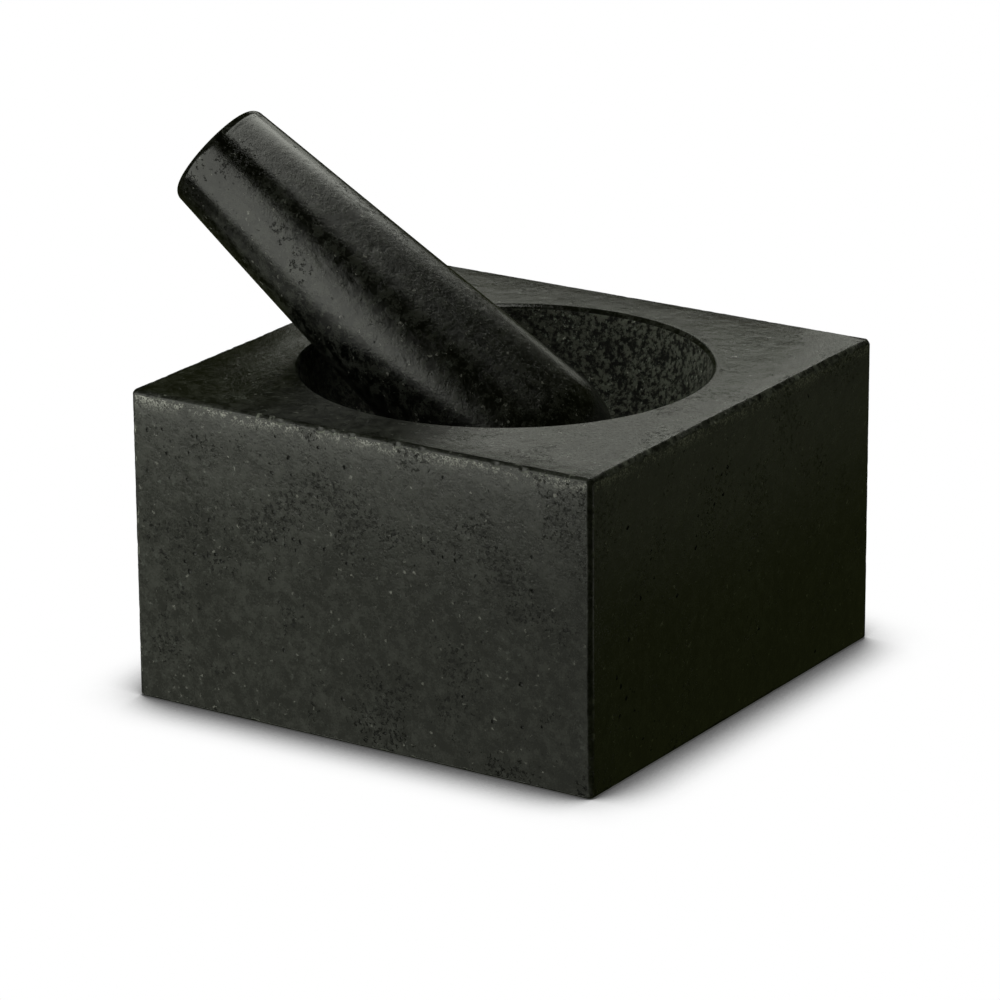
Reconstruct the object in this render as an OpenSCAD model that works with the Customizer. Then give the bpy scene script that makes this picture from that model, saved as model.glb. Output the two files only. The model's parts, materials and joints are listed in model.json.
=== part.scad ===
// Stone mortar and pestle.
// The mortar is a square block with a round bowl ground into its top face, and the
// pestle is a loose tapered stone rod that leans in the bowl over the lip.
// Millimetres, +Z up. The origin is the centre of the block's underside.

/* [Block] */
// Width of the square block
block_w = 130; // [120:1:160]
// Height of the block
block_h = 78; // [70:1:100]
// Bevel along the four upper edges
top_bevel = 1.2; // [0.6:0.1:3]
// Bevel along the four upright edges
side_bevel = 1.4; // [0.6:0.1:3]
// Bevel along the four lower edges
base_bevel = 0.7; // [0.4:0.1:2]

/* [Bowl] */
// Radius at which the bowl's sphere meets the top face
mouth_r = 50; // [46:0.5:54]
// Depth of the bowl at its centre
bowl_depth = 43; // [38:0.5:48]
// Radius of the ground lip round the mouth
lip_r = 2; // [1:0.5:4]

/* [Pestle] */
// Length from the flat end of the grip to the tip of the head
pestle_len = 128; // [115:1:150]
// Radius of the round grinding head
head_r = 22; // [18:0.5:26]
// Radius of the grip at its flat end, before its edge is rounded
grip_r = 14.3; // [12:0.1:17]
// Rounding of the grip's end edge
end_round = 2.5; // [1:0.5:5]

/* [Pestle at rest] */
// Angle of the pestle's axis above the level
lean = 37.8; // [34:0.2:44]
// Direction that the head points in, turned from +X towards +Y
heading = 7.7; // [-45:0.1:45]
// Gap left at the two places where the pestle touches the block
rest_gap = 0.25; // [0.1:0.05:0.5]

/* [Hidden] */
$fn = 96;
stone_colour = [0.17, 0.175, 0.15];
head_colour = [0.2, 0.205, 0.185];
// How far a cutting shape runs past the face that it cuts
overrun = 2;

// The bowl is part of a sphere that meets the top face at mouth_r.
bowl_r = (mouth_r * mouth_r + bowl_depth * bowl_depth) / (2 * bowl_depth);
bowl_z = block_h + bowl_r - bowl_depth;

// The lip is an arc tangent to the bowl. It meets the top face at a small angle.
lip_meets_top = 15;
lip_z = block_h - lip_r * cos(lip_meets_top);
lip_x = sqrt(pow(bowl_r + lip_r, 2) - pow(bowl_z - lip_z, 2));
lip_start = atan2(lip_z - bowl_z, lip_x);

// The pestle's side is the line from the end's radius that is tangent to the head.
grip_z = pestle_len - head_r;
taper = asin(head_r / norm([grip_r, grip_z])) - atan2(grip_r, grip_z);
round_z = grip_z - end_round;
round_x = (head_r - end_round - round_z * sin(taper)) / cos(taper);

// At rest the head lies on the bowl and the side lies on the lip, in one upright plane.
// swing is the angle of the head's centre from straight below the bowl's centre.
reach = bowl_r - head_r - rest_gap;
side_tilt = lean + taper;
lip_share = head_r + lip_r + rest_gap - sin(side_tilt) * lip_x + cos(side_tilt) * (lip_z - bowl_z);
swing = acos(-lip_share / reach) - side_tilt;
head_x = reach * sin(swing);
head_z = bowl_z - reach * cos(swing);

// Points along an arc, from angle a to angle b
function arc(centre, r, a, b, steps) =
    [for (i = [0:steps]) centre + r * [cos(a + (b - a) * i / steps), sin(a + (b - a) * i / steps)]];

// Upright slab with the block's outline, seen from one side
module bevelled_slab() {
    half = block_w / 2;
    outline = [
        [half - base_bevel, 0],
        [half, base_bevel],
        [half, block_h - top_bevel],
        [half - top_bevel, block_h],
    ];
    mirrored = [for (i = [len(outline) - 1:-1:0]) [-outline[i].x, outline[i].y]];
    rotate([90, 0, 0])
        linear_extrude(block_w + overrun, center = true)
            polygon(concat(outline, mirrored));
}

// Square block, bevelled along all twelve edges
module block_body() {
    corner_square = (block_w - side_bevel) * sqrt(2);
    intersection() {
        bevelled_slab();
        rotate(90) bevelled_slab();
        rotate(45)
            translate([0, 0, block_h / 2])
                cube([corner_square, corner_square, block_h + overrun], center = true);
    }
}

// Everything that is ground away for the bowl and its lip
module bowl_space() {
    bowl_arc = arc([0, bowl_z], bowl_r, -90, lip_start, 24);
    lip_arc = arc([lip_x, lip_z], lip_r, 180 + lip_start, 90, 8);
    above = block_h + overrun;
    rotate_extrude()
        polygon(concat(bowl_arc, lip_arc, [[lip_x, above], [0, above]]));
}

module mortar_block() {
    color(stone_colour)
        difference() {
            block_body();
            bowl_space();
        }
}

// Pestle standing on its head, with the head's centre at the origin
module upright_pestle() {
    head_arc = arc([0, 0], head_r, -90, taper, 24);
    end_arc = arc([round_x, round_z], end_round, taper, 90, 6);
    rotate_extrude()
        polygon(concat(head_arc, end_arc, [[0, grip_z]]));
}

module pestle() {
    color(head_colour)
        rotate([0, 0, heading])
            translate([head_x, 0, head_z])
                rotate([0, lean - 90, 0])
                    upright_pestle();
}

mortar_block();
pestle();
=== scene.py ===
import json
import math

import bpy
import numpy as np
from mathutils import Matrix, Vector, noise
from mathutils.geometry import delaunay_2d_cdt

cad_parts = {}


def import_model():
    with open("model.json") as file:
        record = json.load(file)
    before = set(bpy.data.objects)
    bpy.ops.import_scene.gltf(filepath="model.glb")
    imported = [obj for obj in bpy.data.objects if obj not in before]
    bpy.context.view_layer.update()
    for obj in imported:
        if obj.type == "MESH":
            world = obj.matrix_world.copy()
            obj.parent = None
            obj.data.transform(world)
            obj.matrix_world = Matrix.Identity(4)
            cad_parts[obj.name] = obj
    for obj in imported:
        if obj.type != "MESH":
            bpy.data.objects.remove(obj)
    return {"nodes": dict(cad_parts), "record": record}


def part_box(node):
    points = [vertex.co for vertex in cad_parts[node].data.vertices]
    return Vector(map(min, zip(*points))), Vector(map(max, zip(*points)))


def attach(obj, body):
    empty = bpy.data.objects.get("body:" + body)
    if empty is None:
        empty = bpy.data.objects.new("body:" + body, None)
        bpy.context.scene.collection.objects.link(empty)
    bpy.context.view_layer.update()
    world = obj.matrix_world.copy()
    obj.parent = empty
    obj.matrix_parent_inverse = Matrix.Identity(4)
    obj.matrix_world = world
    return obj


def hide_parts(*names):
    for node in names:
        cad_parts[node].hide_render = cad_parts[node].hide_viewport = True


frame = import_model()

# A square polished stone mortar and its loose tapered pestle. Shapes are worked out in
# millimetres in the CAD model's frame, and become metres when their mesh is made.
MM = 0.001

# Everything random is drawn from one generator with this seed
SEED = 7

# Worn edges of the block: points along each edge, and places of the rows across each bevel.
# Wear dies out near the corners. A bite deeper than CHIP_SHOWS has its own broken surface.
# Here and below, WAVES are pairs of a wave's length and its height. A bevel's heights are
# shares of its width, and the others are in mm.
EDGE_STEPS = 330
UPRIGHT_STEPS = 200
BEVEL_ROWS = np.array([0, 0.09, 0.3, 0.5, 0.7, 0.91, 1])
BEVEL_ROUNDING = 0.07
BEVEL_WAVES = ((11, 0.04), (2.5, 0.025))
CORNER_EASE = 4.0
CHIP_SHOWS = 0.08

# Chips along the edges: how many, and the deepest in mm. The top and base have one pair for
# each side. Their depth is full on the side face, and FLAT_SHARE of it on the top or base.
# LARGE_CHIPS and SMALL_CHIPS are the shortest and the longest of their kind.
TOP_CHIPS = ((26, 0.6), (85, 1.1), (30, 0.7), (60, 0.9))
BASE_CHIPS = ((10, 0.35),) * 4
UPRIGHT_CHIPS = (9, 0.4)
LARGE_CHIPS = (0.9, 2.6)
SMALL_CHIPS = (0.4, 1.0)
FLAT_SHARE = 0.2

# The side whose top bevel is rubbed rough, counting from the front one towards +X
RUBBED_SIDE = 1

# Polishing leaves each flat face a little lower near its edges, and very slightly wavy. Along
# an edge the drop changes by up to ROLL_VARIES of itself, about once every ROLL_CHANGES.
# Slopes are measured over SLOPE_STEP either way.
ROLL_WIDTH = 9.0
ROLL_DEPTH = 0.2
ROLL_VARIES = 0.8
ROLL_CHANGES = 17.0
WAVE_LENGTH = 24.0
WAVE_DEPTH = 0.02
SLOPE_STEP = 0.05

# Ground lip of the bowl, as in the CAD model: radius, and angle at which it meets the top
LIP_RADIUS = 2.0
LIP_ANGLE = math.radians(15)
LIP_RINGS = 8
BOWL_RINGS = 46
BOWL_SECTORS = 360
BOWL_WAVES = ((9.0, 0.05), (3.5, 0.02))

# Small pits in the polished faces: how many on each face, and their smallest and largest radius.
# Most lie in nests, some of which are moved to the face's upper left. Pits keep PIT_MARGIN
# from the face's edges and LIP_MARGIN from the bowl's lip. PIT_RINGS are pairs of a share of
# the radius and a share of the depth.
SIDE_PITS = (230, 90, 120, 160)
TOP_PITS = 10
BASE_PITS = 40
PIT_RADIUS = (0.14, 0.6)
PIT_POINTS = 10
PIT_RINGS = ((1, 0), (0.85, 0.55), (0.5, 0.95))
PIT_MARGIN = 3.5
LIP_MARGIN = 1.3
NESTS = 9
UPPER_LEFT_NESTS = 5
NEST_SHARE = 0.75
NEST_SPREAD = 4.5

# Spacing of the points inside a flat face, over its middle and near its edges, and how far in
# from the edges they start
FACE_GRID = 4.5
EDGE_GRID = 1.8
EDGE_GRID_MARGIN = 2.4

# Pestle: rounding of its flat end, as in the CAD model, and how finely it is made. Its side is
# sunk by PESTLE_SINK to keep the waves inside the CAD model. The waves, the sinking and the
# dents grow in over the first EVEN_ROWS rows.
END_ROUND = 2.5
PESTLE_SECTORS = 256
PESTLE_STEP = 0.75
PESTLE_WAVES = ((24.0, 0.05), (6.0, 0.012))
PESTLE_SINK = 0.05
EVEN_ROWS = 14
DENTS = 90
DENT_RADIUS = (0.5, 1.1)

# Camera: the photograph's viewing angle and lens
CAMERA_AZIMUTH = 33.11
CAMERA_ELEVATION = 18.6
CAMERA_ROLL = -0.36
CAMERA_DISTANCE = 1.2885
CAMERA_LENS = 190.15
CAMERA_SENSOR = 36
AIM_FROM_BLOCK = Vector((-0.0014, -0.0010, 0.0041))

# Stone: its dark olive colour, a greyer one where it is rough, and the tints of its pale spots
# and of its bright crystals
OLIVE = (0.90, 1.0, 0.68)
STONE_GREY = (0.95, 1.0, 0.86)
SPOT_TINT = (0.92, 1.0, 0.90)
CRYSTAL_TINT = (1.0, 1.0, 0.92)

# The block's sides are bruised pale down to BRUISED_BELOW under the top, and fully so from
# BRUISE_FADE higher up. The bowl's ground stone is given painted shade, darkest at the left.
# Wear, and the bowl's painted shade, are measured from a place: the mottle is half there, and
# full WEAR_OR_SHADE_REACH further on. All are in metres.
BRUISED_BELOW = 0.005
BRUISE_FADE = 0.004
BOWL_LEFT = Vector((-0.03, 0, 0))
WEAR_OR_SHADE_REACH = 0.04

# Studio light: its colour, the olive of the dim light from the right and from all round, how
# strong the one from all round is, where across a graded card its light starts to fade, and
# how far the floor reaches, in metres
LIGHT_TINT = (0.98, 1.0, 0.91)
OLIVE_LIGHT = (0.86, 1.0, 0.35)
FILL = 0.022
FADE_START = 0.4
FLOOR_REACH = 6.0

# The floor is shaded where stone is within this reach of it, in metres. It looks for the stone
# this way, so that the shade falls a little to the front and right.
SHADOW_REACH = 0.021
SHADOW_LEAN = Vector((-0.33, 0.48, 1.0)).normalized()


def link(name, data):
    """Adds an object with this data to the scene."""
    made = bpy.data.objects.new(name, data)
    bpy.context.scene.collection.objects.link(made)
    return made


class Shape:
    """Points in millimetres and the faces between them. Each face belongs to a surface."""

    def __init__(self):
        self.points = np.empty((0, 3))
        self.faces, self.surfaces = [], []
        self.normals = {}

    def add(self, points):
        """Adds points and returns their numbers, in the same arrangement."""
        points = np.asarray(points, float)
        numbers = len(self.points) + np.arange(points[..., 0].size).reshape(points.shape[:-1])
        self.points = np.concatenate([self.points, points.reshape(-1, 3)])
        return numbers

    def face(self, corners, surface):
        self.faces.append([int(c) for c in corners])
        self.surfaces.append(surface)

    def bridge(self, upper, lower, surface, closed=True):
        """Joins two rows of points that run anticlockwise, with the outside to their right.
        surface is one name, or a name for each step along the rows."""
        if closed:
            upper, lower = np.append(upper, upper[0]), np.append(lower, lower[0])
        for i in range(len(upper) - 1):
            name = surface if isinstance(surface, str) else surface[i]
            self.face((upper[i], lower[i], lower[i + 1], upper[i + 1]), name)

    def fan(self, ring, middle, surface):
        for a, b in zip(ring, np.roll(ring, -1)):
            self.face((a, b, middle), surface)

    def fill(self, loops, spare, across, up, surface):
        """Fills the first loop with triangles, round the other loops and through the spare points."""
        numbers = np.concatenate([*loops, spare]).astype(int)
        flat = self.points[numbers] @ np.array([across, up], float).T
        ends = np.cumsum([0] + [len(loop) for loop in loops])
        areas = [list(range(a, b)) for a, b in zip(ends[:-1], ends[1:])]
        found = delaunay_2d_cdt([Vector(p) for p in flat], [], areas, 1, 1e-6)
        _, _, triangles, origins, _, inside = found
        for triangle, within in zip(triangles, inside):
            if list(within) == [0]:
                self.face([numbers[origins[i][0]] for i in triangle], surface)

    def make(self, name, materials):
        """Makes the Blender object. materials gives each surface's material."""
        mesh = bpy.data.meshes.new(name)
        mesh.from_pydata(self.points * MM, [], self.faces)
        chosen = list(dict.fromkeys(materials[s] for s in self.surfaces))
        for material in chosen:
            mesh.materials.append(material)
        index = [chosen.index(materials[s]) for s in self.surfaces]
        mesh.polygons.foreach_set("material_index", index)
        mesh.polygons.foreach_set("use_smooth", [True] * len(index))
        mesh.edges.foreach_set("use_edge_sharp", self.borders(mesh))
        self.set_normals(mesh)
        return link(name, mesh)

    def borders(self, mesh):
        """For each edge, whether its faces belong to different surfaces."""
        kinds = list(dict.fromkeys(self.surfaces))
        kind = np.array([kinds.index(s) for s in self.surfaces])
        edge = np.empty(len(mesh.loops), int)
        mesh.loops.foreach_get("edge_index", edge)
        per_corner = np.repeat(kind, [len(f) for f in self.faces])
        low, high = np.full(len(mesh.edges), len(kinds)), np.full(len(mesh.edges), -1)
        np.minimum.at(low, edge, per_corner)
        np.maximum.at(high, edge, per_corner)
        return low != high

    def set_normals(self, mesh):
        """Gives the corners at the listed points their own normals, outside the pits."""
        mesh.update()
        found = np.empty(len(mesh.loops) * 3, np.float32)
        mesh.corner_normals.foreach_get("vector", found)
        found = found.reshape(-1, 3)
        corner = 0
        for face, surface in zip(self.faces, self.surfaces):
            for point in face:
                if surface != "pit" and point in self.normals:
                    found[corner] = self.normals[point]
                corner += 1
        mesh.normals_split_custom_set(found.tolist())


def ripple(points, wave):
    """Smooth noise from about -1 to 1 at each point, with features about one wave across."""
    flat = np.asarray(points, float).reshape(-1, 3) / wave
    return np.array([noise.noise(Vector(p)) for p in flat]).reshape(np.shape(points)[:-1])


def wander(where, wave, rng):
    """A smooth random line from -1 to 1 that turns about once a wave."""
    span = where[-1] - where[0]
    knots = rng.uniform(-1, 1, max(4, int(abs(span) / wave) + 2))
    place = (where - where[0]) / span * (len(knots) - 1)
    low = np.clip(np.floor(place).astype(int), 0, len(knots) - 2)
    share = place - low
    share = share * share * (3 - 2 * share)
    return knots[low] * (1 - share) + knots[low + 1] * share


def cad_points(frame, node):
    """A CAD node's vertices, in millimetres."""
    return np.array([v.co for v in frame["nodes"][node].data.vertices], float) / MM


# ---- Block -------------------------------------------------------------------------------


def block_sizes(frame):
    """Sizes of the block and its bowl, read from the CAD model."""
    points = cad_points(frame, "mortar_block")
    half, height = points[:, 0].max(), points[:, 2].max()
    out = np.hypot(points[:, 0], points[:, 1])
    bowl = points[(out < 0.85 * half) & (points[:, 2] > 0.1 * height)]
    bottom = bowl[:, 2].min()
    rise, reach = bowl[:, 2] - bottom, np.hypot(bowl[:, 0], bowl[:, 1])
    # The sphere's radius is measured between the bowl's bottom and its lip
    middle = (rise > 0.2 * (height - bottom)) & (rise < 0.8 * (height - bottom))
    radius = np.median((reach[middle] ** 2 + rise[middle] ** 2) / (2 * rise[middle]))
    sides = points[np.isclose(points[:, 1], -half, atol=0.01)]
    return {
        "half": half,
        "height": height,
        "bottom": bottom,
        "radius": radius,
        "upright_bevel": half - sides[:, 0].max(),
        "top_bevel": height - sides[:, 2].max(),
        "base_bevel": sides[:, 2].min(),
    }


def across_bevel(share, bulge):
    """How far each step across a bevel lies from the two faces, in shares of its width."""
    swell = bulge * np.sin(np.pi * share)
    return 1 - share - swell, share - swell


def quarter_turns(flat, turns):
    x, y = flat[..., 0], flat[..., 1]
    for _ in range(turns):
        x, y = -y, x
    return np.stack([x, y], -1)


def outline(half, bevel):
    """Points round the block, one side and corner after another, and the way inward at each."""
    along = np.linspace(bevel - half, half - bevel, EDGE_STEPS + 1)
    share = BEVEL_ROWS[1:-1]
    before, after = across_bevel(share, BEVEL_ROUNDING)
    side = np.stack([along, np.full(len(along), -half)], -1)
    corner = np.stack([half - bevel * before, bevel * after - half], -1)
    inward = np.concatenate([
        np.tile([0.0, 1.0], (len(side), 1)),
        np.stack([-share, 1 - share], -1),
    ])
    quarter = np.concatenate([side, corner])
    turned = [quarter_turns(quarter, k) for k in range(4)]
    inwards = [quarter_turns(inward, k) for k in range(4)]
    return along, np.concatenate(turned), np.concatenate(inwards)


def chips(where, count, lengths, deepest, rng):
    """How far small bites along an edge eat into one face."""
    bitten = np.zeros(len(where))
    ends = sorted((where[0], where[-1]))
    for _ in range(count):
        middle = rng.uniform(ends[0] + CORNER_EASE, ends[1] - CORNER_EASE)
        half = rng.uniform(*lengths) / 2
        skew = rng.uniform(-0.5, 0.5)
        place = (where - middle) / half
        bite = np.clip(1 - place ** 2, 0, None) ** 0.6 * (1 + skew * place)
        bitten = np.maximum(bitten, bite * rng.uniform(0.25, 1) ** 1.5 * deepest * min(1, half))
    return bitten


def worn_edge(where, width, rng, chip_count, deepest):
    """Along an edge, a bevel's width on its two faces and how far chips eat into each."""
    ease = np.clip((np.abs(where - where[0])) / CORNER_EASE, 0, 1)
    ease = ease * np.clip((np.abs(where[-1] - where)) / CORNER_EASE, 0, 1)
    widths, bites = [], []
    for share in (FLAT_SHARE, 1.0):
        large = chips(where, chip_count, LARGE_CHIPS, deepest * share, rng)
        small = chips(where, chip_count * 3, SMALL_CHIPS, deepest * share * 0.7, rng)
        wave = sum(size * wander(where, length, rng) for length, size in BEVEL_WAVES)
        bites.append(np.maximum(large, small) * ease)
        widths.append(width * (1 + wave * ease) + bites[-1])
    return [*widths, *bites]


def rough_bulge(share, bites, rng):
    """Rounding across a bevel, uneven where it is chipped."""
    chipped = np.clip((bites[0] * (1 - share) + bites[1] * share) / 0.3, 0, 1)
    uneven = rng.uniform(-1, 1, len(bites[0])) * (0.01 + 0.03 * chipped) * np.sin(np.pi * share)
    return BEVEL_ROUNDING * (1 - 1.6 * chipped) + uneven


def bevel_surfaces(bites):
    """Names the surface of each strip across a bevel, at each step along it."""
    middles = (BEVEL_ROWS[:-1] + BEVEL_ROWS[1:]) / 2
    near = [bites[0] if m < 0.4 else bites[1] if m > 0.6 else np.minimum(*bites) for m in middles]
    return [np.where(bite > CHIP_SHOWS, "chip", "bevel").astype("<U8") for bite in near]


def ring_band(shape, around, inward, level, down, sides, rng, worn=slice(0)):
    """Rows of points across a bevel that runs round the block, from its flat face outward.
    worn is the part of the way round where it is rubbed rough."""
    inset, drop, *bites = sides
    rows = []
    for share in BEVEL_ROWS:
        bulge = rough_bulge(share, bites, rng)
        to_side, to_face = across_bevel(share, bulge)
        flat = around + inward * (inset * to_side)[:, None]
        rows.append(shape.add(np.column_stack([flat, level - down * drop * to_face])))
    for inner, outer, surface in zip(rows[:-1], rows[1:], bevel_surfaces(bites)):
        surface[worn] = np.where(surface[worn] == "bevel", "rubbed", surface[worn])
        shape.bridge(*((inner, outer) if down > 0 else (outer, inner)), surface)
    return rows


def wear_round(along, bevel, rng, side_chips):
    """worn_edge for all four sides in turn, with plain corners between them."""
    corner = np.full(len(BEVEL_ROWS) - 2, bevel)
    plain = (corner, corner, 0 * corner, 0 * corner)
    parts = []
    for chip_count, deepest in side_chips:
        worn = worn_edge(along, bevel, rng, chip_count, deepest)
        parts.append([np.concatenate(pair) for pair in zip(worn, plain)])
    return [np.concatenate(group) for group in zip(*parts)]


def upright_band(shape, k, sizes, top, base, rng):
    """Rows of points down one upright corner, between the corner's rows on the other bevels."""
    highest = sizes["height"] - sizes["top_bevel"]
    heights = np.linspace(highest, sizes["base_bevel"], UPRIGHT_STEPS + 1)
    width_a, width_b, *bites = worn_edge(heights, sizes["upright_bevel"], rng, *UPRIGHT_CHIPS)
    names = np.array(bevel_surfaces(bites)).T
    rows = [top]
    for i in range(1, UPRIGHT_STEPS):
        here = [np.full(len(BEVEL_ROWS), bite[i]) for bite in bites]
        before, after = across_bevel(BEVEL_ROWS, rough_bulge(BEVEL_ROWS, here, rng))
        flat = np.stack([sizes["half"] - width_a[i] * before, width_b[i] * after - sizes["half"]], -1)
        flat = quarter_turns(flat, k)
        rows.append(shape.add(np.column_stack([flat, np.full(len(flat), heights[i])])))
    rows.append(base)
    for i, (upper, lower) in enumerate(zip(rows[:-1], rows[1:])):
        shape.bridge(upper, lower, names[i].tolist(), closed=False)
    return np.array(rows)


def scatter(count, half_width, low, high, free, rng):
    """Places for pits, most of them in clusters, with about half a pit's width between them."""
    nests = np.column_stack([
        rng.uniform(-half_width, half_width, NESTS),
        rng.uniform(low, high, NESTS),
    ])
    moved = nests[:UPPER_LEFT_NESTS]
    moved[:, 0] = -np.abs(moved[:, 0])
    moved[:, 1] = np.maximum(moved[:, 1], high - (moved[:, 1] - low))
    found = []
    while len(found) < count:
        if rng.random() < NEST_SHARE:
            place = nests[rng.integers(len(nests))] + rng.normal(0, NEST_SPREAD, 2)
        else:
            place = np.array([rng.uniform(-half_width, half_width), rng.uniform(low, high)])
        radius = PIT_RADIUS[0] + (PIT_RADIUS[1] - PIT_RADIUS[0]) * rng.random() ** 2.2
        inside = abs(place[0]) < half_width and low < place[1] < high and free(place)
        apart = all(np.hypot(*(place - p)) > 1.5 * (radius + r) + 0.2 for p, r in found)
        if inside and apart:
            found.append((place, radius))
    return found


def pit(shape, place, radius, lift, out, rng):
    """An irregular hollow in a flat face. lift turns flat places into points on the face."""
    turn = np.linspace(0, 2 * np.pi, PIT_POINTS, endpoint=False)
    long, slant = rng.uniform(1, 1.3), rng.uniform(0, np.pi)
    uneven = 1 + rng.uniform(-0.3, 0.3, PIT_POINTS)
    ring = np.stack([np.cos(turn) * long, np.sin(turn) / long], -1) * (radius * uneven)[:, None]
    spin = np.array([[np.cos(slant), np.sin(slant)], [-np.sin(slant), np.cos(slant)]])
    ring = ring @ spin
    depth = radius * rng.uniform(0.5, 0.8)
    rows = []
    for size, down in PIT_RINGS:
        rows.append(shape.add(lift(place + ring * size) - out * depth * down))
    middle = shape.add(lift(place[None]) - out * depth)[0]
    for outer, inner in zip(rows[:-1], rows[1:]):
        shape.bridge(inner, outer, "pit")
    shape.fan(rows[-1], middle, "pit")
    return rows[0]


def spare_points(half_width, low, high, pits, free, rng):
    """Points that keep the triangles of a flat face well shaped, clear of its pits and edges."""

    def grid(step, margin):
        a = np.arange(margin - half_width, half_width - margin + 0.01, step)
        b = np.arange(low + margin, high - margin + 0.01, step)
        return np.stack(np.meshgrid(a, b), -1).reshape(-1, 2)

    fine = grid(EDGE_GRID, EDGE_GRID_MARGIN)
    to_sides = half_width - np.abs(fine[:, 0])
    border = np.minimum(to_sides, np.minimum(fine[:, 1] - low, high - fine[:, 1]))
    coarse = grid(FACE_GRID, ROLL_WIDTH + 3)
    places = np.concatenate([
        fine[border < ROLL_WIDTH + 1],
        coarse + rng.uniform(-0.8, 0.8, coarse.shape),
    ])
    keep = [free(p) and all(np.hypot(*(p - q)) > 2 * r + 0.4 for q, r in pits) for p in places]
    return places[np.array(keep)]


def lowered(flat, half_width, low, high, offset):
    """How far polishing has taken a face down at each place."""
    u, v = flat[:, 0], flat[:, 1]
    places = np.column_stack([u, v, np.full(len(u), offset)])
    depth = WAVE_DEPTH * (1 + ripple(places, WAVE_LENGTH))
    edges = ((half_width - u, v), (half_width + u, v), (v - low, u), (high - v, u))
    for number, (inside, along) in enumerate(edges):
        where = np.column_stack([along, np.full(len(u), 31.0 * number + offset), 0 * along])
        strength = 1 + ROLL_VARIES * ripple(where, ROLL_CHANGES)
        depth += ROLL_DEPTH * strength * np.clip(1 - inside / ROLL_WIDTH, 0, 1.2) ** 2
    return depth


def anywhere(place):
    return True


def flat_face(shape, name, outline_row, box, ways, count, rng, holes=(), free=anywhere):
    """A polished face inside its outline, with pits where they are free to be. It is lowest near
    its edges. box is its half width and its two ends, and ways are across it, up it and out."""
    half_width, low, high = box
    across, up, out = (np.array(way, float) for way in ways)
    offset = shape.points[outline_row[0]] @ out

    def depth(flat):
        return lowered(flat, half_width, low, high, float(offset + across @ (3, 7, 11)))

    def lift(flat):
        level = np.outer(offset - depth(flat), out)
        return np.outer(flat[:, 0], across) + np.outer(flat[:, 1], up) + level

    rim = np.concatenate([outline_row, *holes])
    shape.points[rim] -= np.outer(depth(shape.points[rim] @ np.array([across, up]).T), out)
    inner = half_width - PIT_MARGIN, low + PIT_MARGIN, high - PIT_MARGIN
    pits = scatter(count, *inner, free, rng)
    pit_rims = [pit(shape, place, radius, lift, out, rng) for place, radius in pits]
    spare = shape.add(lift(spare_points(half_width, low, high, pits, free, rng)))
    shape.fill([outline_row, *holes, *pit_rims], spare, across, up, name)
    every = np.concatenate([outline_row, *holes, *pit_rims, spare])
    flat = shape.points[every] @ np.array([across, up]).T
    moves = SLOPE_STEP * np.eye(2)
    slope_u, slope_v = (depth(flat + move) - depth(flat - move) for move in moves)
    lean = np.outer(slope_u, across) + np.outer(slope_v, up)
    normals = out + lean / (2 * SLOPE_STEP)
    normals /= np.linalg.norm(normals, axis=1)[:, None]
    shape.normals.update(zip(every.tolist(), normals))


def bowl_rings(sizes):
    """Distance from the axis and height of each ring, from the top face to near the bottom."""
    radius, height = sizes["radius"], sizes["height"]
    centre = sizes["bottom"] + radius
    lip_z = height - LIP_RADIUS * math.cos(LIP_ANGLE)
    lip_x = math.sqrt((radius + LIP_RADIUS) ** 2 - (lip_z - centre) ** 2)
    toward = math.atan2(centre - lip_z, -lip_x)
    lip = np.linspace(math.pi / 2 + LIP_ANGLE, toward, LIP_RINGS + 1)
    rings = [(lip_x + LIP_RADIUS * math.cos(a), lip_z + LIP_RADIUS * math.sin(a)) for a in lip]
    start = math.atan2(lip_x, centre - lip_z)
    for a in np.linspace(start, 0, BOWL_RINGS + 1)[1:-1]:
        rings.append((radius * math.sin(a), centre - radius * math.cos(a)))
    return rings


def bowl(shape, sizes):
    """The bowl and its lip. Returns the ring where the lip meets the top face."""
    turn = np.linspace(0, 2 * np.pi, BOWL_SECTORS, endpoint=False)
    centre = np.array([0, 0, sizes["bottom"] + sizes["radius"]])
    rows = []
    for n, (out, z) in enumerate(bowl_rings(sizes)):
        ring = np.column_stack([out * np.cos(turn), out * np.sin(turn), np.full(len(turn), z)])
        if n > 0:
            away = (ring - centre) / np.linalg.norm(ring - centre, axis=1)[:, None]
            uneven = sum(depth * ripple(ring, wave) for wave, depth in BOWL_WAVES)
            ring += away * (uneven * min(1, n / LIP_RINGS))[:, None]
        rows.append(shape.add(ring))
    bottom = shape.add([[0, 0, sizes["bottom"]]])[0]
    for n, (outer, inner) in enumerate(zip(rows[:-1], rows[1:])):
        shape.bridge(inner, outer, "lip" if n < LIP_RINGS - 2 else "bowl")
    shape.fan(rows[-1], bottom, "bowl")
    return rows[0]


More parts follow.
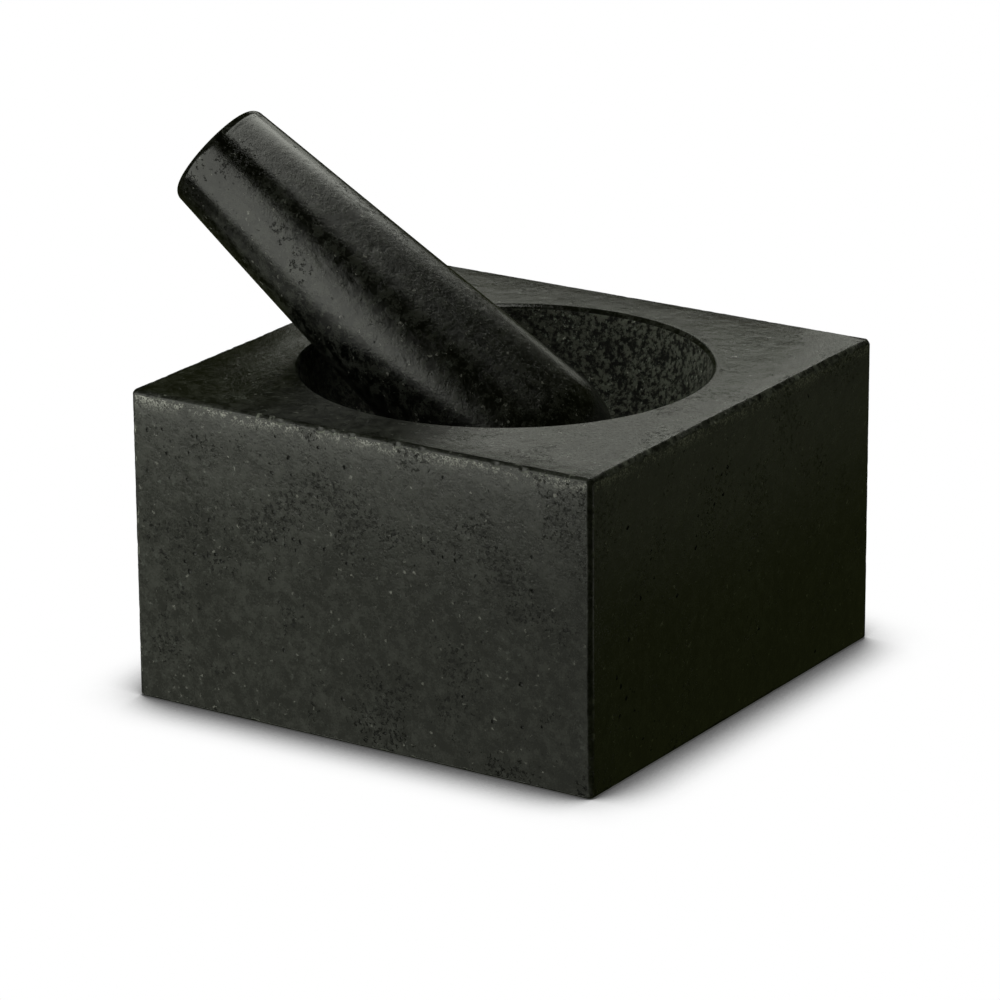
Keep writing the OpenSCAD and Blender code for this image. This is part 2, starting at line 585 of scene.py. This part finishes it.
def block_shape(frame, rng):
    sizes = block_sizes(frame)
    half, height = sizes["half"], sizes["height"]
    shape = Shape()
    along, around, inward = outline(half, sizes["upright_bevel"])
    per_quarter = len(around) // 4
    top_wear = wear_round(along, sizes["top_bevel"], rng, TOP_CHIPS)
    base_wear = wear_round(along, sizes["base_bevel"], rng, BASE_CHIPS)
    rubbed_start = RUBBED_SIDE * per_quarter
    rubbed = slice(rubbed_start, rubbed_start + EDGE_STEPS)
    top = ring_band(shape, around, inward, height, 1, top_wear, rng, rubbed)
    base = ring_band(shape, around, inward, 0, -1, base_wear, rng)

    def corner(row, k):
        first = k * per_quarter + len(along) - 1
        return row[np.arange(first, first + len(BEVEL_ROWS)) % len(row)]

    uprights = []
    for k in range(4):
        ends = corner(top[-1], k), corner(base[-1], k)
        uprights.append(upright_band(shape, k, sizes, *ends, rng))
    for k in range(4):
        side = slice(k * per_quarter, k * per_quarter + len(along))
        right, left = uprights[k][1:-1, 0], uprights[k - 1][1:-1, -1]
        row = np.concatenate([base[-1][side], right[::-1], top[-1][side][::-1], left])
        across = [*quarter_turns(np.array([1.0, 0.0]), k), 0]
        out = [*quarter_turns(np.array([0.0, -1.0]), k), 0]
        ways = across, (0, 0, 1), out
        flat_face(shape, "side", row, (half, 0, height), ways, SIDE_PITS[k], rng)

    lip = bowl(shape, sizes)
    clear = bowl_rings(sizes)[0][0] + LIP_MARGIN
    square = half, -half, half
    upper = (1, 0, 0), (0, 1, 0), (0, 0, 1)
    under = (1, 0, 0), (0, -1, 0), (0, 0, -1)
    flat_face(shape, "flat", top[0], square, upper, TOP_PITS, rng, [lip],
              lambda place: np.hypot(*place) > clear)
    flat_face(shape, "flat", base[0][::-1], square, under, BASE_PITS, rng)
    return shape


# ---- Pestle ------------------------------------------------------------------------------


def grip_mount(frame):
    return next(m for m in frame["record"]["mounts"] if m["name"] == "grip_end")


def pestle_sizes(frame):
    """The pestle's end, axis, length, head radius and side line, read from the CAD model."""
    mount = grip_mount(frame)
    end, axis = np.array(mount["pos_m"]) / MM, np.array(mount["axis"], float)
    axis /= np.linalg.norm(axis)
    offset = cad_points(frame, "pestle") - end
    down = -offset @ axis
    out = np.linalg.norm(offset + down[:, None] * axis, axis=1)
    length, head = down.max(), out.max()
    # The straight side is measured past the rounded end and short of the ball
    side = (down > 2.2) & (down < length - head - 0.5) & (out > 0.5 * head)
    slope, start = np.polyfit(down[side], out[side], 1)
    return end, axis, length, head, slope, start


def pestle_profile(length, head, slope, start):
    """Distance below the flat end and distance from the axis, from the end to near the tip."""
    tilt = math.atan(slope)
    round_down = END_ROUND
    round_out = start + slope * round_down - END_ROUND / math.cos(tilt)
    turns = np.linspace(math.pi / 2, -tilt, 11)
    edge = [(round_down - END_ROUND * math.sin(a), round_out + END_ROUND * math.cos(a)) for a in turns]
    centre = length - head
    meets = centre - head * math.sin(tilt)
    steps = int((meets - edge[-1][0]) / PESTLE_STEP)
    side = [(d, start + slope * d) for d in np.linspace(edge[-1][0], meets, steps)[1:-1]]
    turns = np.linspace(tilt, -math.pi / 2, int(head * math.pi / 2 / PESTLE_STEP))
    tip = [(centre - head * math.sin(a), head * math.cos(a)) for a in turns[:-1]]
    disc = [(0, round_out * share) for share in (0.2, 0.45, 0.7, 0.9)]
    return disc, edge + side + tip


def dent(points, rng):
    """Shallow dents and nicks in the pestle's side, as a depth at each point."""
    depth = np.zeros(len(points))
    for middle in points[rng.choice(len(points), DENTS, replace=False)]:
        radius = rng.uniform(*DENT_RADIUS)
        near = np.linalg.norm(points - middle, axis=1) / radius
        depth = np.maximum(depth, np.clip(1 - near ** 2, 0, None) * radius * rng.uniform(0.06, 0.16))
    return depth


def pestle_shape(frame, rng):
    end, axis, length, head, slope, start = pestle_sizes(frame)
    across = np.cross(axis, (0, 0, 1.0))
    across /= np.linalg.norm(across)
    up = np.cross(axis, across)
    turn = np.linspace(0, 2 * np.pi, PESTLE_SECTORS, endpoint=False)
    circle = np.outer(np.cos(turn), across) + np.outer(np.sin(turn), up)
    disc, side = pestle_profile(length, head, slope, start)
    shape = Shape()
    rings = np.array([end - axis * down + circle * out for down, out in side])
    centre = end - axis * (length - head)
    normals = np.repeat(circle[None], len(side), axis=0)
    for n, (down, out) in enumerate(side):
        if down > length - head:
            normals[n] = (rings[n] - centre) / head
    uneven = sum(depth * ripple(rings, wave) for wave, depth in PESTLE_WAVES)
    dents = dent(rings.reshape(-1, 3), rng).reshape(len(side), -1)
    fade = np.clip(np.arange(len(side)) / EVEN_ROWS, 0, 1)[:, None]
    moved = (uneven - PESTLE_SINK - dents) * fade
    rings = rings + normals * moved[..., None]
    rows = shape.add(rings)
    for upper, lower in zip(rows[:-1], rows[1:]):
        shape.bridge(upper, lower, "side")
    tip = shape.add([end - axis * (length - 0.03)])[0]
    shape.fan(rows[-1][::-1], tip, "side")
    flat = [shape.add(end + circle * out) for _, out in disc]
    for upper, lower in zip(flat, [*flat[1:], rows[0]]):
        shape.bridge(upper, lower, "end")
    shape.fan(flat[0], shape.add([end])[0], "end")
    return shape


# ---- Stone -------------------------------------------------------------------------------


class Nodes:
    """Short way to add nodes to a material or world. Inputs are values or other nodes' outputs."""

    def __init__(self, owner):
        owner.use_nodes = True
        self.tree = owner.node_tree
        self.tree.nodes.clear()

    def add(self, kind, inputs=None, **settings):
        node = self.tree.nodes.new(kind)
        for name, value in settings.items():
            setattr(node, name, value)
        for name, value in (inputs or {}).items():
            socket = node.inputs[name]
            if isinstance(value, bpy.types.NodeSocket):
                self.tree.links.new(value, socket)
            else:
                socket.default_value = value
        return node

    def math(self, operation, a, b=0.0, clamp=False):
        return self.add("ShaderNodeMath", {0: a, 1: b}, operation=operation, use_clamp=clamp).outputs[0]

    def ramp(self, value, low, high, to_low=0.0, to_high=1.0):
        """value from low to high, turned smoothly into to_low to to_high."""
        names = {"Value": value, "From Min": low, "From Max": high, "To Min": to_low, "To Max": to_high}
        return self.add("ShaderNodeMapRange", names, interpolation_type="SMOOTHSTEP").outputs[0]

    def ramp_straight(self, value, low, high):
        """value from low to high, turned evenly into 0 to 1."""
        names = {"Value": value, "From Min": low, "From Max": high}
        return self.add("ShaderNodeMapRange", names).outputs[0]

    def noise(self, place, scale, detail=3.0, roughness=0.5, distortion=0.0):
        names = {
            "Vector": place, "Scale": scale, "Detail": detail,
            "Roughness": roughness, "Distortion": distortion,
        }
        return self.add("ShaderNodeTexNoise", names).outputs[0]

    def cells(self, place, scale):
        return self.add("ShaderNodeTexVoronoi", {"Vector": place, "Scale": scale})

    def spread(self, value, width, middle):
        """Noise around 0.5, made width wide around middle."""
        return self.add("ShaderNodeMath", {0: value, 1: width, 2: middle - 0.5 * width},
                        operation="MULTIPLY_ADD").outputs[0]

    def blend(self, share, a, b):
        names = {0: share, 6: a, 7: b}
        return self.add("ShaderNodeMix", names, data_type="RGBA").outputs[2]


def shade(level, tint):
    return (level * tint[0], level * tint[1], level * tint[2], 1.0)


def stone_places(n, where, fineness):
    """Places in the stone, and the same jogged a little, which gives patches ragged borders."""
    even = n.add("ShaderNodeVectorMath", {0: where, "Scale": fineness}, operation="SCALE").outputs[0]
    jog = n.add("ShaderNodeTexNoise", {"Vector": even, "Scale": 1100.0, "Detail": 2.0}).outputs["Color"]
    jog = n.add("ShaderNodeVectorMath", {0: jog, 1: (0.5, 0.5, 0.5)}, operation="SUBTRACT").outputs[0]
    place = n.add("ShaderNodeVectorMath", {0: jog, 1: (0.0016, 0.0016, 0.0016), 2: even},
                  operation="MULTIPLY_ADD").outputs[0]
    return even, place


# Used for wear on the pestle and for painted shade in the bowl, darker towards its left
def wear_or_shade_onward(n, where, start, way):
    """A half at start, growing to 1 along way."""
    far = n.add("ShaderNodeVectorMath", {0: where, 1: start}, operation="SUBTRACT").outputs[0]
    far = n.add("ShaderNodeVectorMath", {0: far, 1: way}, operation="DOT_PRODUCT").outputs["Value"]
    return n.ramp(far, 0.0, WEAR_OR_SHADE_REACH, 0.5, 1.0)


def bruises(n, where, place, clouds, grain, start):
    """Where stone above the height start is bruised, in small spots."""
    above = n.add("ShaderNodeSeparateXYZ", {"Vector": where}).outputs[2]
    bruised = n.ramp(above, start, start + BRUISE_FADE)
    blotches = n.math("ADD", n.noise(place, 520, 3, 0.7), n.spread(clouds, 0.5, 0))
    bruised = n.math("MULTIPLY", bruised, n.ramp(blotches, 0.44, 0.60))
    return n.math("MULTIPLY", bruised, n.ramp(grain, 0.40, 0.60), clamp=True)


def dark_specks(n, even, place, amount):
    """Where the stone has black specks, which lie in clusters."""
    nests = n.ramp(n.noise(even, 48, 2, 0.6), 0.48, 0.62)
    blots = n.math("ADD", n.noise(place, 640, 3, 0.7), n.math("MULTIPLY", nests, 0.13))
    return n.math("MULTIPLY", n.ramp(blots, 0.68, 0.74), amount, clamp=True)


def stone(name, dark, pale, gloss, relief, mottle=1.0, specks=1.0, flecks=0.5, pitted=1.0,
          swell=0.0, tint=OLIVE, fineness=1.0, worn_or_shaded_from=None, worn_above=None):
    """Dark fine-grained stone with paler patches, black specks in clusters and light flecks.
    dark and pale are reflectances, gloss is the mean roughness and relief is in metres.
    pitted is how deep the specks are, in shares of the relief, and swell how high broad waves are.
    worn_or_shaded_from is a place and a direction. The mottle and relief grow from there: wear on the
    pestle, and painted shade in the bowl, which is darker towards the left.
    worn_above is a height in metres. Above it the stone is bruised pale in small spots."""
    material = bpy.data.materials.new(name)
    n = Nodes(material)
    where = n.add("ShaderNodeTexCoord").outputs["Object"]
    even, place = stone_places(n, where, fineness)
    # Wear on the pestle. In the bowl this paints shade: its colour is darker towards the left.
    wear_or_shade = wear_or_shade_onward(n, where, *worn_or_shaded_from) if worn_or_shaded_from else 1.0

    # Noise from broad to fine. Its scale is roughly how many features there are in a metre.
    clouds = n.noise(even, 55, 3, 0.55)
    patches = n.noise(place, 280, 5, 0.70)
    second = n.noise(place, 430, 5, 0.72, 0.2)
    grain = n.noise(even, 1700, 2, 0.65)
    crystal = n.add("ShaderNodeSeparateColor", {"Color": n.cells(place, 1150).outputs["Color"]})
    hole = dark_specks(n, even, place, specks)

    # Base colour: patches, then pale spots, bruises, bright crystals and dark specks
    tone = n.spread(patches, 3.4 * mottle, 0.34)
    tone = n.math("ADD", tone, n.spread(clouds, 1.0, 0))
    tone = n.math("ADD", tone, n.spread(grain, 1.8, 0))
    tone = n.math("ADD", tone, n.spread(crystal.outputs[0], 0.35, 0), clamp=True)
    # Less wear, or the bowl's painted shade, keeps the tone nearer dark
    base = n.blend(n.math("MULTIPLY", tone, wear_or_shade), shade(dark, tint), shade(pale, STONE_GREY))
    spot = n.ramp(n.math("ADD", second, n.spread(clouds, 0.25, 0)), 0.60, 0.70)
    spot = n.math("MULTIPLY", spot, mottle * 0.8)
    spot = n.math("MULTIPLY", spot, wear_or_shade, clamp=True)
    base = n.blend(spot, base, shade(pale * 1.8, SPOT_TINT))
    if worn_above:
        bruised = bruises(n, where, place, clouds, grain, worn_above)
        base = n.blend(bruised, base, shade(pale * 9.0, CRYSTAL_TINT))
    lit = n.ramp(n.math("ADD", crystal.outputs[1], n.spread(second, 0.25, 0)), 0.985, 1.03)
    lit = n.math("MULTIPLY", lit, flecks)
    base = n.blend(lit, base, shade(pale * 6.0, CRYSTAL_TINT))
    base = n.blend(hole, base, shade(dark * 0.3, tint))

    # Roughness, and the height that the bump is made from
    dull = n.math("ADD", n.spread(second, 0.5 * gloss, gloss), n.spread(grain, 0.3 * gloss, 0))
    dull = n.math("ADD", dull, n.math("MULTIPLY", hole, 0.06), clamp=True)
    height = n.math("ADD", n.math("MULTIPLY", patches, 0.6), n.math("MULTIPLY", grain, 0.12))
    height = n.math("ADD", height, n.math("MULTIPLY", second, 0.35))
    height = n.math("SUBTRACT", height, n.math("MULTIPLY", hole, pitted))
    if swell:
        height = n.math("ADD", height, n.math("MULTIPLY", n.noise(even, 130, 2, 0.5), swell))
    height = n.math("MULTIPLY", height, wear_or_shade)
    bump = n.add("ShaderNodeBump", {"Height": height, "Strength": 1.0, "Distance": relief})

    shader = n.add("ShaderNodeBsdfPrincipled", {
        "Base Color": base, "Roughness": dull, "Normal": bump.outputs[0], "IOR": 1.54,
    })
    n.add("ShaderNodeOutputMaterial", {"Surface": shader.outputs[0]})
    return material


def block_stones():
    """The material of each of the block's surfaces."""
    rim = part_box("mortar_block")[1].z - BRUISED_BELOW
    polished = stone("block_polished", 0.008, 0.055, 0.13, 0.00018, 1.5, pitted=0.35, swell=0.9)
    # The bowl's stone is darkened towards its left as painted shade, where the pestle's shadow falls
    bowl_ground_painted_shade = stone("bowl_ground_painted_shade", 0.001, 0.34, 0.46, 0.0009, 3.0, tint=STONE_GREY,
                        fineness=2.5, worn_or_shaded_from=(BOWL_LEFT, Vector((1, 0, 0))))
    return {
        "flat": polished,
        "lip": polished,
        "side": stone("block_sides", 0.012, 0.046, 0.12, 0.00017, 1.2, flecks=0.8, pitted=4.5,
                      fineness=1.25, worn_above=rim),
        "bevel": stone("block_edge", 0.006, 0.05, 0.3, 0.0002),
        "chip": stone("block_broken", 0.06, 0.24, 0.6, 0.0003, specks=0.4, tint=STONE_GREY),
        "rubbed": stone("edge_rubbed", 0.02, 0.15, 0.45, 0.0004, 2.0, specks=0.8,
                        tint=STONE_GREY, fineness=1.4),
        # The pits' insides are coloured darker than the faces round them: painted shade in the hollows
        "pit": stone("pit_inside_painted_shade", 0.003, 0.012, 0.35, 0.0002),
        "bowl": bowl_ground_painted_shade,
    }


def pestle_stone(grip, way_down):
    """The pestle's polish, which is cleanest at the grip."""
    return stone("pestle_polished", 0.001, 0.030, 0.11, 0.00020, 2.2, flecks=1.6, pitted=4.0,
                 fineness=1.3, worn_or_shaded_from=(grip, way_down))


# ---- Studio ------------------------------------------------------------------------------


def toward(azimuth, elevation):
    """Unit vector at an angle round from +X and an angle above the level, in degrees."""
    a, e = math.radians(azimuth), math.radians(elevation)
    return Vector((math.cos(a) * math.cos(e), math.sin(a) * math.cos(e), math.sin(e)))


def panel(name, centre, facing, upward, size, brightness, fade=1.0, tint=LIGHT_TINT):
    """A soft rectangular light. centre and size are in mm, facing and upward are directions.
    brightness is how bright its face looks. fade is how much of that is left at its +X side."""
    data = bpy.data.lights.new(name, "AREA")
    data.shape = "RECTANGLE"
    data.size, data.size_y = size[0] * MM, size[1] * MM
    data.energy = brightness * math.pi * data.size * data.size_y
    data.color = tint
    if fade < 1:
        n = Nodes(data)
        across = n.add("ShaderNodeNewGeometry").outputs["Parametric"]
        across = n.add("ShaderNodeSeparateXYZ", {"Vector": across}).outputs[0]
        across = n.ramp_straight(across, FADE_START, 1.0)
        glow = n.add("ShaderNodeEmission", {"Strength": n.math("POWER", fade, across)})
        n.add("ShaderNodeOutputLight", {"Surface": glow.outputs[0]})
    light = link(name, data)
    behind = -Vector(facing).normalized()
    right = Vector(upward).cross(behind).normalized()
    turned = Matrix((right, behind.cross(right), behind)).transposed().to_4x4()
    light.matrix_world = Matrix.Translation(Vector(centre) * MM) @ turned
    light.visible_camera = False
    return light


def lights(grip):
    """Soft boxes close round the stone. Nearly all that is seen of it is their reflections."""
    panel("left_box", (-312, -262, 161), (0, 1, 0), (0, 0, 1), (575, 325), 1.62)
    panel("left_table", (-75, -164, -1), (0, 0, 1), (0, 1, 0), (290, 197), 0.31)
    panel("back_card", (-172, 300, 210), (0, -1, 0), (0, 0, 1), (204, 90), 0.72)
    panel("rim_card", (-52, 300, 140), (0, -1, 0), (0, 0, 1), (66, 50), 0.7)
    panel("right_table", (230, 200, -1), (0, 0, 1), (0, 1, 0), (180, 280), 0.06)
    panel("right_floor", (150, 90, -2), (0, 0, 1), (0, 1, 0), (170, 400), 0.03, tint=OLIVE_LIGHT)
    panel("corner_table", (225, -20, -1), (0, 0, 1), (0, 1, 0), (150, 90), 0.6)
    above = toward(75, 62)
    along = toward(108, -23)
    over = grip / MM + above * 350 + along.cross(above) * 50 - along * 20
    panel("top_card", over, -above, along, (170, 660), 2.5, 0.01)


def world(fill):
    """Even light from all round. The camera itself sees a white backdrop."""
    made = bpy.data.worlds.new("studio")
    bpy.context.scene.world = made
    n = Nodes(made)
    seen = n.add("ShaderNodeLightPath").outputs["Is Camera Ray"]
    even = n.add("ShaderNodeBackground", {"Color": (*OLIVE_LIGHT, 1), "Strength": fill})
    white = n.add("ShaderNodeBackground", {"Color": (1, 1, 1, 1), "Strength": 1.0})
    mixed = n.add("ShaderNodeMixShader", {0: seen, 1: even.outputs[0], 2: white.outputs[0]})
    n.add("ShaderNodeOutputWorld", {"Surface": mixed.outputs[0]})


def floor():
    """A white floor that only the camera sees. It glows, and a painted shadow darkens it close round
    the block.
    """
    mesh = bpy.data.meshes.new("floor")
    signs = ((-1, -1), (1, -1), (1, 1), (-1, 1))
    corners = [(x * FLOOR_REACH, y * FLOOR_REACH, 0) for x, y in signs]
    mesh.from_pydata(corners, [], [(0, 1, 2, 3)])
    made = link("floor", mesh)
    material = bpy.data.materials.new("floor_white_painted_shadow")
    n = Nodes(material)
    shaded = {"Distance": SHADOW_REACH, "Normal": SHADOW_LEAN}
    # Painted shadow: the floor's glow is dimmed where stone is near
    open_share = n.add("ShaderNodeAmbientOcclusion", shaded, samples=16).outputs["AO"]
    level = n.ramp(open_share, 0.45, 0.98, 0.07, 1.0)
    glow = n.add("ShaderNodeEmission", {"Color": (1, 1, 1, 1), "Strength": level})
    n.add("ShaderNodeOutputMaterial", {"Surface": glow.outputs[0]})
    mesh.materials.append(material)
    made.visible_diffuse = made.visible_glossy = made.visible_shadow = False
    made.visible_transmission = False


def camera(block_middle):
    data = bpy.data.cameras.new("camera")
    data.lens, data.sensor_width = CAMERA_LENS, CAMERA_SENSOR
    made = link("camera", data)
    away = toward(CAMERA_AZIMUTH - 90, CAMERA_ELEVATION)
    made.location = block_middle + AIM_FROM_BLOCK + away * CAMERA_DISTANCE
    made.rotation_euler = away.to_track_quat("Z", "Y").to_euler()
    made.rotation_euler.rotate_axis("Z", math.radians(CAMERA_ROLL))
    bpy.context.scene.camera = made


def main():
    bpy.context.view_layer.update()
    rng = np.random.default_rng(SEED)

    mount = grip_mount(frame)
    grip, grip_axis = Vector(mount["pos_m"]), Vector(mount["axis"])

    block = block_shape(frame, rng).make("stone_block", block_stones())
    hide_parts("mortar_block")
    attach(block, "mortar")

    polish = pestle_stone(grip, -grip_axis)
    pestle = pestle_shape(frame, rng).make("stone_pestle", {"side": polish, "end": polish})
    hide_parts("pestle")
    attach(pestle, "pestle")

    low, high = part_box("mortar_block")
    lights(grip)
    world(FILL)
    floor()
    camera((low + high) / 2)
    bpy.context.scene.view_settings.view_transform = "Standard"


main()
